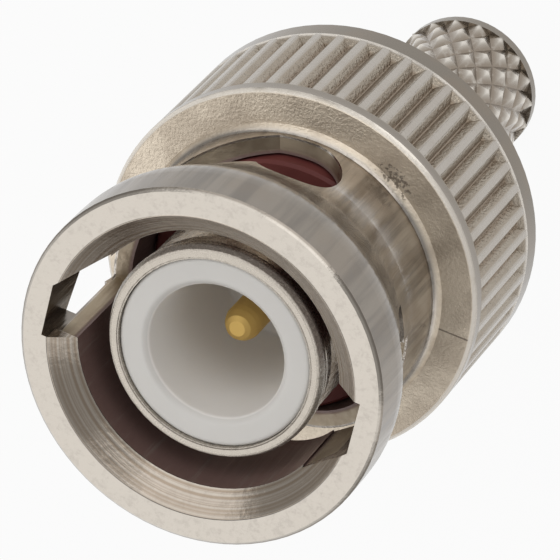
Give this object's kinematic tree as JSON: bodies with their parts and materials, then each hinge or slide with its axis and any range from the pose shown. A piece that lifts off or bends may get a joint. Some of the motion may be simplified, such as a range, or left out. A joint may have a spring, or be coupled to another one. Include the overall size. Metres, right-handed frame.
{
  "type": "bayonet coaxial plug",
  "caption": "Round nickel-plated coaxial plug with a turning bayonet coupling nut, gold centre pin in a white insulator, dark red gasket and a knurled crimp stem for the cable.",
  "frame": {"origin": "centre of the crimp stem's end face, which the part stands on", "axes": "+Z along the plug's axis from the cable end to the mating face, +X through one entry channel of the nut"},
  "size_m": [0.0144, 0.0144, 0.027],
  "materials": {
    "nickel_plate": "bright plated",
    "spring_steel": "satin",
    "white_plastic": "satin",
    "gold_plate": "plated",
    "red_rubber": "matte"
  },
  "bodies": {
    "plug": {"plug_body": "nickel_plate", "crimp_stem": "nickel_plate", "outer_contact": "nickel_plate", "insulator": "white_plastic", "centre_pin": "gold_plate", "gasket": "red_rubber", "spring_washer_front": "spring_steel", "spring_washer_rear": "spring_steel"},
    "washer": {"thrust_washer": "spring_steel"},
    "nut": {"coupling_nut": "nickel_plate", "retaining_ring": "spring_steel"}
  },
  "joints": [
    {"name": "nut_spring_slide", "type": "slide", "parent": "plug", "child": "washer", "axis": [0, 0, 1], "range_m": [0, 0.0005], "stiffness_N_per_m": 500, "springref_m": -0.0005, "deforming": ["spring_washer_front", "spring_washer_rear"]},
    {"name": "nut_turn", "type": "hinge", "parent": "washer", "child": "nut", "pos_m": [0, 0, 0.0195], "axis": [0, 0, 1], "continuous": true}
  ]
}
